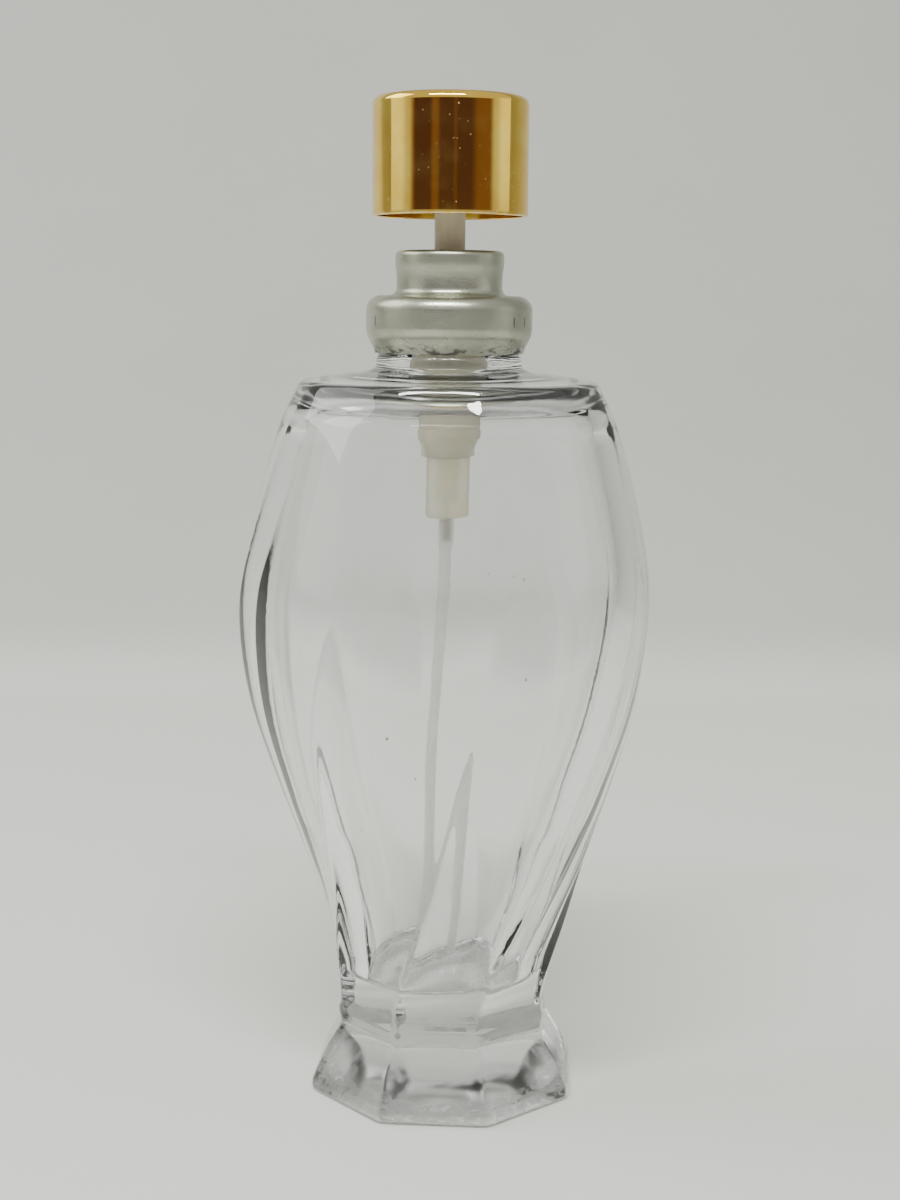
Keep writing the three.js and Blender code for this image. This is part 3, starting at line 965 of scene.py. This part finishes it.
@dataclass
class SprayPump:
    """The pump: its housing in the neck, the dip tube below it, and the stem and the spring in it."""

    segments: int = 96
    flange_radius: float = 5.1
    flange: float = 1.1
    collar_radius: float = 4.0
    collar_length: float = 8.6
    wide_radius: float = 3.56
    wide_length: float = 7.66
    tail_radius: float = 2.44
    step: float = 0.6
    bore: float = 2.6
    seal_radius: float = 3.0
    seal_depth: float = 2.06
    seal_room: float = 1.11
    ledge: float = 0.56
    rib_height: float = 3.0
    rib: float = 0.1
    inlet: float = 0.3
    nipple: float = 0.55
    nipple_length: float = 2.5
    cage: float = 0.95
    cone_rise: float = 0.7
    tube_radius: float = 0.73
    tube_bore: float = 0.42
    flare_radius: float = 0.9
    flare_length: float = 2.7
    flare_taper: float = 0.6
    tube_rings: int = 40
    tube_slack: float = 0.03
    cut_height: float = 0.3
    cut_slope: float = 0.55
    stem_radius: float = 1.57
    stem_bore: float = 0.5
    stem_socket: float = 2.75
    foot_radius: float = 1.2
    foot_bore: float = 0.8
    foot_depth: float = 5.2
    bore_taper: float = 0.3
    collar_gap: float = 0.64
    collar: float = 1.0
    wire: float = 0.4
    wire_sides: int = 12
    turns: int = 6
    turn_steps: int = 40
    flat_pitch: float = 1.06

    def build(self) -> None:
        """Builds the four fine pieces and dresses the other inner ones."""
        natural = NATURAL.material()
        housing = Turning(self._housing(), ring=True, arc=3).spin(self.segments)
        place("housing_plastic", housing, Body.BOTTLE, "pump_housing", natural)
        tube = Turning(self._tube(), ring=True, arc=3).spin(self.segments // 2)
        self._cut_end(tube)
        place("tube_plastic", tube, Body.BOTTLE, "dip_tube", CLEAR.material())
        stem = Turning(self._stem(), ring=True, arc=3).spin(self.segments)
        place("stem_plastic", stem, Body.PLUNGER, "pump_stem", IVORY.material())
        steel = DrawnSteel().material()
        spring = place("spring_steel", self._spring(), Body.BOTTLE, "return_spring", steel)
        low, high = level("return_spring", False), level("return_spring", True)
        1 - stroke("actuator_press") / (high - low)
        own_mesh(spring)
        dress(natural, "closure_collar", "valve_pin", "pump_piston")
        dress(steel, "inlet_ball")

    def _housing(self) -> list[Corner]:
        """Lists the housing's outside from the inlet up, and its stepped bore down to the ball's cone.

        Returns:
            The corners of the closed section.
        """
        top = level("pump_housing", True)
        flange = top - self.flange
        wide = flange - self.collar_length
        tail = wide - self.wide_length
        low = level("pump_housing", False)
        nipple = low + self.nipple_length
        cone = nipple + self.cone_rise
        seat = top - self.seal_depth - self.seal_room
        return [
            Corner(self.inlet, low),
            Corner(self.nipple, low, 0.1),
            Corner(self.nipple, nipple, 0.15),
            Corner(self.tail_radius, nipple, 0.3),
            Corner(self.tail_radius, tail, 0.15),
            Corner(self.tail_radius + 0.45, tail, 0.1),
            Corner(self.wide_radius, tail + self.step, 0.25),
            Corner(self.wide_radius, tail + (self.rib_height - self.rib), 0.06),
            Corner(self.wide_radius - self.rib, tail + self.rib_height, 0.06),
            Corner(self.wide_radius - self.rib, wide, 0.1),
            Corner(self.collar_radius, wide + self.step, 0.15),
            Corner(self.collar_radius, flange, 0.15),
            Corner(self.flange_radius, flange, 0.1),
            Corner(self.flange_radius, top, 0.1),
            Corner(self.seal_radius, top, 0.08),
            Corner(self.seal_radius, seat),
            Corner(self.bore, seat),
            Corner(self.bore, tail + self.ledge, 0.15),
            Corner(self.cage + 0.2, tail + self.ledge),
            Corner(self.cage, tail),
            Corner(self.cage, cone + self.cage),
            Corner(self.inlet, cone + self.inlet),
        ]

    def _tube(self) -> list[Corner]:
        """Lists the dip tube's section, flared where it is pushed over the nipple.

        Returns:
            The corners of the closed section.
        """
        low, top = level("dip_tube", False), level("dip_tube", True)
        flare = top - self.flare_length
        plain = flare - self.flare_taper
        steps = [low + (plain - low) * i / self.tube_rings for i in range(1, self.tube_rings)]
        return [
            Corner(self.tube_bore, low),
            Corner(self.tube_radius, low, 0.06),
            *(Corner(self.tube_radius, z) for z in steps),
            Corner(self.tube_radius, plain, 0.3),
            Corner(self.flare_radius, flare, 0.3),
            Corner(self.flare_radius, top, 0.08),
            Corner(self.nipple + self.tube_slack, top),
            Corner(self.nipple + self.tube_slack, flare, 0.2),
            Corner(self.tube_bore, plain, 0.2),
            *(Corner(self.tube_bore, z) for z in reversed(steps)),
        ]

    def _cut_end(self, tube: bmesh.types.BMesh) -> None:
        """Bevels the tube's foot so that it can't seal itself on the glass.

        Args:
            tube: The turned tube.
        """
        low = level("dip_tube", False)
        for vert in tube.verts:
            above = vert.co.z / MM - low
            if above < self.cut_height:
                vert.co.z += self.cut_slope * max(0.0, self.tube_radius * MM - vert.co.y)

    def _spring(self) -> bmesh.types.BMesh:
        """Spins a ring of wire up a helix whose first and last turns lie nearly flat.

        Returns:
            The closed coil.
        """
        low, high = level("return_spring", False), level("return_spring", True)
        radius = reach("return_spring") - self.wire / 2
        mesh = bmesh.new()
        foot = Matrix.Translation(Vector((0, -radius, low + self.wire / 2)) * MM)
        start = foot @ Matrix.Rotation(math.pi / 2, 4, "Y")
        bmesh.ops.create_circle(mesh, segments=self.wire_sides, radius=self.wire / 2 * MM, matrix=start)
        last = mesh.verts[:] + mesh.edges[:]
        flat = self.flat_pitch * self.wire
        climb = high - low - self.wire - 2 * flat
        for turns, rise in ((1, flat), (self.turns - 2, climb), (1, flat)):
            steps = self.turn_steps * turns
            spun = bmesh.ops.spin(
                mesh, geom=last, cent=(0, 0, 0), axis=AXIS, dvec=(0, 0, rise * MM / steps),
                angle=math.tau * turns, steps=steps, use_merge=False, use_duplicate=False,
            )
            last = spun["geom_last"]
        bmesh.ops.holes_fill(mesh, edges=mesh.edges, sides=self.wire_sides)
        bmesh.ops.remove_doubles(mesh, verts=mesh.verts, dist=MERGE)
        bmesh.ops.recalc_face_normals(mesh, faces=mesh.faces)
        return mesh

    def _stem(self) -> list[Corner]:
        """Lists the stem's section: its collar in the pump, its outside, and the bore through it.

        Returns:
            The corners of the closed section.
        """
        low, top = level("pump_stem", False), level("pump_stem", True)
        collar, widest = level("pump_piston", True) + self.collar_gap, reach("pump_stem")
        return [
            Corner(self.foot_bore, low),
            Corner(self.foot_radius, low, 0.1),
            Corner(self.foot_radius, collar),
            Corner(widest, collar, 0.1),
            Corner(widest, collar + self.collar, 0.1),
            Corner(self.stem_radius, collar + self.collar, 0.1),
            Corner(self.stem_radius, top - self.stem_socket, 0.05),
            Corner(self.stem_radius, top, 0.12),
            Corner(self.stem_bore, top, 0.1),
            Corner(self.stem_bore, low + self.foot_depth, 0.1),
            Corner(self.foot_bore, low + (self.foot_depth - self.bore_taper), 0.1),
        ]


# ---------------------------------------------------------------- the actuator


@dataclass
class Actuator:
    """The gold cup over the button, with the nozzle's hole in its side, and the nozzle in the hole."""

    segments: int = 256
    sheet: float = 0.4
    edge: float = 0.85
    land: float = 2.2
    hole: float = 1.9
    drill_depth: float = 4.0
    drill_sides: int = 64
    nozzle_height: float = 4.9
    nozzle_radius: float = 1.6
    nozzle_depth: float = 2.4
    nozzle_feed: float = 0.7
    nozzle_sides: int = 64
    swirl_depth: float = 1.2
    dish_radius: float = 0.75
    dish_depth: float = 2.1
    orifice: float = 0.2

    def build(self) -> None:
        """Builds the cup and the nozzle, and dresses the button inside."""
        self.low, self.high = level("actuator_shell", False), level("actuator_shell", True)
        self.radius = reach("actuator_shell")
        gold = GoldMirror(rim=self.low).material()
        shell = self._drilled(Turning(self._cup(), arc=8).spin(self.segments))
        place("cap_gold", shell, Body.ACTUATOR, "actuator_shell", gold)
        insert = Turning(self._nozzle(), ring=True, arc=3).spin(self.nozzle_sides)
        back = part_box("nozzle_insert")[0].y
        seat = Matrix.Translation((0, back, (self.low + self.nozzle_height) * MM))
        lay = seat @ Matrix.Rotation(-math.pi / 2, 4, "X")
        bmesh.ops.transform(insert, matrix=lay, verts=insert.verts)
        place("nozzle_plastic", insert, Body.ACTUATOR, "nozzle_insert", NATURAL.material())
        dress(IVORY.material(), "actuator_button")

    def _cup(self) -> list[Corner]:
        """Lists the cup's section.

        Returns:
            The corners, from its top's centre, down its side and back inside.
        """
        low, top, radius, sheet = self.low, self.high, self.radius, self.sheet
        return [
            Corner(0, top),
            Corner(radius - self.land, top, 0.3),
            Corner(radius, top, self.edge),
            Corner(radius, low + 0.5, 0.1),
            Corner(radius, low, 0.14),
            Corner(radius - sheet, low, 0.14),
            Corner(radius - sheet, top - sheet, 0.6),
            Corner(0, top - sheet),
        ]

    def _nozzle(self) -> list[Corner]:
        """Lists the insert's section, its face up, before it is laid along the spray.

        Returns:
            The corners of the closed section.
        """
        return [
            Corner(self.nozzle_feed, 0),
            Corner(self.nozzle_radius, 0, 0.1),
            Corner(self.nozzle_radius, self.nozzle_depth, 0.25),
            Corner(self.dish_radius, self.nozzle_depth, 0.1),
            Corner(self.orifice, self.dish_depth),
            Corner(self.orifice, self.swirl_depth),
            Corner(self.nozzle_feed, self.swirl_depth),
        ]

    def _drilled(self, shell: bmesh.types.BMesh) -> bmesh.types.BMesh:
        """Cuts the nozzle's hole through the side of the cup.

        Args:
            shell: The closed cup, which is used up.

        Returns:
            The cup with its hole.
        """
        cup, drill = (bpy.data.meshes.new(name) for name in ("cup", "drill"))
        shell.to_mesh(cup)
        shell.free()
        tool = bmesh.new()
        height = (self.low + self.nozzle_height) * MM
        side = Matrix.Translation((0, self.radius * MM, height))
        across = side @ Matrix.Rotation(math.pi / 2, 4, "X")
        bmesh.ops.create_cone(
            tool, cap_ends=True, segments=self.drill_sides, radius1=self.hole * MM, radius2=self.hole * MM,
            depth=self.drill_depth * MM, matrix=across,
        )
        tool.to_mesh(drill)
        tool.free()
        blank, cutter = (bpy.data.objects.new(data.name, data) for data in (cup, drill))
        for part in (blank, cutter):
            bpy.context.scene.collection.objects.link(part)
        hole = blank.modifiers.new("hole", "BOOLEAN")
        hole.object = cutter
        hole.solver = "EXACT"
        graph = bpy.context.evaluated_depsgraph_get()
        made = bmesh.new()
        made.from_mesh(blank.evaluated_get(graph).to_mesh())
        for part in (blank, cutter):
            bpy.data.objects.remove(part)
        return made


# ---------------------------------------------------------------- the studio


@dataclass
class Studio:
    """A pale table that sweeps up behind the bottle, soft light, and the camera."""

    wall_distance: float = 0.205
    half_width: float = 5.0
    bend_steps: int = 10
    board_depth: float = 0.02
    floor_colour: tuple[float, float, float] = (0.72, 0.725, 0.685)
    # The wall's colour is painted shade: darker than the floor's, standing for the wall getting less light.
    shaded_wall_colour: tuple[float, float, float] = (0.55, 0.557, 0.525)
    low_sky: tuple[float, float, float] = (0.68, 0.70, 0.70)
    high_sky: tuple[float, float, float] = (0.72, 0.72, 0.70)
    bright_side: tuple[float, float, float] = (1.25, 1.27, 1.15)
    horizon: tuple[float, float, float] = (0.50, 0.502, 0.485)
    dim: tuple[float, float, float] = (0.092, 0.050, 0.085)
    copper: tuple[float, float, float] = (0.21, 0.115, 0.12)
    drop: float = 0.0002
    aim: tuple[float, float, float] = (0, 0, 0.05)
    sensor: float = 36.0
    lens: float = 56.67
    near: float = 0.01
    eye: tuple[float, float, float] = (0.00033, -0.1952, 0.0830)
    pitch: float = 81.0
    roll: float = 0.51

    def build(self) -> None:
        """Builds the sweep, the surroundings, the lamps and the camera."""
        self._sweep()
        self._surroundings()
        self._lamp("tube", (-0.05, -0.38, 0.62), (0.5, 0.045), 5.4, (1.0, 0.985, 0.96))
        self._lamp("side", (-0.72, 0.1, 0.62), (0.6, 0.5), 3.6, (1.0, 0.99, 0.97))
        self._camera()

    def _sweep(self) -> None:
        """Extrudes the table's and the wall's outline sideways."""
        wall, edge = self.wall_distance, self.half_width
        outline = [(-edge, 0.0, 0.0), (wall, 0.0, 0.012), (wall + 0.3, 0.12, 0.16), (wall + 0.62, 1.5, 0.0)]
        mesh = bmesh.new()
        chain = [mesh.verts.new((-edge, y, z - self.drop)) for y, z, _ in outline]
        for start, end in zip(chain, chain[1:]):
            mesh.edges.new((start, end))
        for vert, (_, _, bend) in zip(chain, outline):
            if bend:
                bmesh.ops.bevel(
                    mesh, geom=[vert], offset=bend, offset_type="OFFSET",
                    affect="VERTICES", segments=self.bend_steps, profile=0.5, material=-1,
                )
        side = bmesh.ops.extrude_edge_only(mesh, edges=mesh.edges[:])["geom"]
        moved = [part for part in side if isinstance(part, bmesh.types.BMVert)]
        bmesh.ops.translate(mesh, vec=(2 * edge, 0, 0), verts=moved)
        bmesh.ops.recalc_face_normals(mesh, faces=mesh.faces)
        for face in mesh.faces:
            face.smooth = True
        data = bpy.data.meshes.new("studio_sweep")
        mesh.to_mesh(data)
        mesh.free()
        data.materials.append(self._board())
        sweep = bpy.data.objects.new("studio_sweep", data)
        bpy.context.scene.collection.objects.link(sweep)

    def _board(self) -> bpy.types.Material:
        """Builds the matt board that the sweep is made of, with painted shade that darkens it up the wall.

        Returns:
            The material.
        """
        paint = Paint("matt_board")
        # Painted shade: the board's colour turns darker up the wall, where less light falls.
        up = paint.y.ramp(self.wall_distance / MM - 6, self.wall_distance / MM + 30)
        fibre = paint.grain(0.5, 4.0)
        cloud = paint.grain(90.0, 2.0).ramp(0.3, 0.7)
        wall = paint.blend(self.shaded_wall_colour, [0.97 * part for part in self.shaded_wall_colour], cloud)
        return paint.finish(
            Base_Color=paint.blend(self.floor_colour, wall, up),
            Roughness=0.55 + 0.1 * fibre,
            Normal=paint.relief(fibre, self.board_depth),
        )

    def _surroundings(self) -> None:
        """Lights the scene from all round, with a dim room in front where polished metal mirrors it."""
        world = bpy.data.worlds.new("soft_room")
        bpy.context.scene.world = world
        world.use_nodes = True
        room = Wiring(world.node_tree)
        towards = room.node("ShaderNodeTexCoord").outputs["Generated"]
        apart = room.node("ShaderNodeSeparateXYZ", inputs={0: towards})
        x, y, z = (Signal(room, socket) for socket in apart.outputs)
        turn = x.beside(-1.0 * y)
        # turn is the angle round the axis from the front, and z is the sine of the height angle.
        dim = turn.ramp(-1.12, -0.95) * turn.ramp(1.2, 1.02) * z.ramp(0.015, 0.045) * z.ramp(0.24, 0.15)
        copper = turn.ramp(-0.54, -0.42) * turn.ramp(-0.24, -0.36) + turn.ramp(-0.9, -1.0)
        copper = copper + turn.ramp(0.5, 0.74) + 0.4 * turn.ramp(0.06, 0.1) * turn.ramp(0.2, 0.14)
        glow = turn.ramp(1.2, 1.45) * turn.ramp(3.0, 2.5) + turn.ramp(-1.14, -1.36) * turn.ramp(-3.0, -2.5)
        pale = room.blend(self.low_sky, self.high_sky, z.ramp(0.0, 0.8))
        pale = room.blend(pale, self.bright_side, glow * z.ramp(0.5, 0.25))
        pale = room.blend(self.horizon, pale, z.ramp(-0.02, 0.09))
        dark = room.blend(self.dim, self.copper, copper)
        room.feed(world.node_tree.nodes["Background"].inputs["Color"], room.blend(pale, dark, dim))

    def _lamp(
        self, name: str, place_at: tuple[float, float, float], size: tuple[float, float], power: float,
        colour: tuple[float, float, float],
    ) -> None:
        """Hangs one oblong lamp that points at the bottle.

        Args:
            name: The lamp's name.
            place_at: Where it hangs, in metres.
            size: Its width and its depth, in metres.
            power: Its power, in watts.
            colour: Its colour.
        """
        data = bpy.data.lights.new(name, "AREA")
        data.shape = "RECTANGLE"
        data.energy = power
        data.color = colour
        data.size, data.size_y = size
        lamp = bpy.data.objects.new(name, data)
        lamp.location = place_at
        lamp.rotation_euler = (Vector(self.aim) - lamp.location).to_track_quat("-Z", "Y").to_euler()
        bpy.context.scene.collection.objects.link(lamp)

    def _camera(self) -> None:
        """Sets the camera a little above the shoulder, looking slightly down."""
        data = bpy.data.cameras.new("camera")
        data.sensor_width = self.sensor
        data.lens = self.lens
        data.clip_start = self.near
        camera = bpy.data.objects.new("camera", data)
        bpy.context.scene.collection.objects.link(camera)
        pitch = Matrix.Rotation(math.radians(self.pitch), 4, "X")
        roll = Matrix.Rotation(math.radians(self.roll), 4, "Z")
        camera.matrix_world = Matrix.Translation(self.eye) @ (pitch @ roll)
        bpy.context.scene.camera = camera


def main() -> None:
    """Builds every sub-assembly over the frame."""
    logging.basicConfig(level=logging.INFO, format="%(name)s: %(message)s")
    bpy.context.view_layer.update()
    for part in (TwistedBottle(), CrimpedCollar(), SprayPump(), Actuator(), Studio()):
        part.build()


if __name__ == "__main__":
    main()
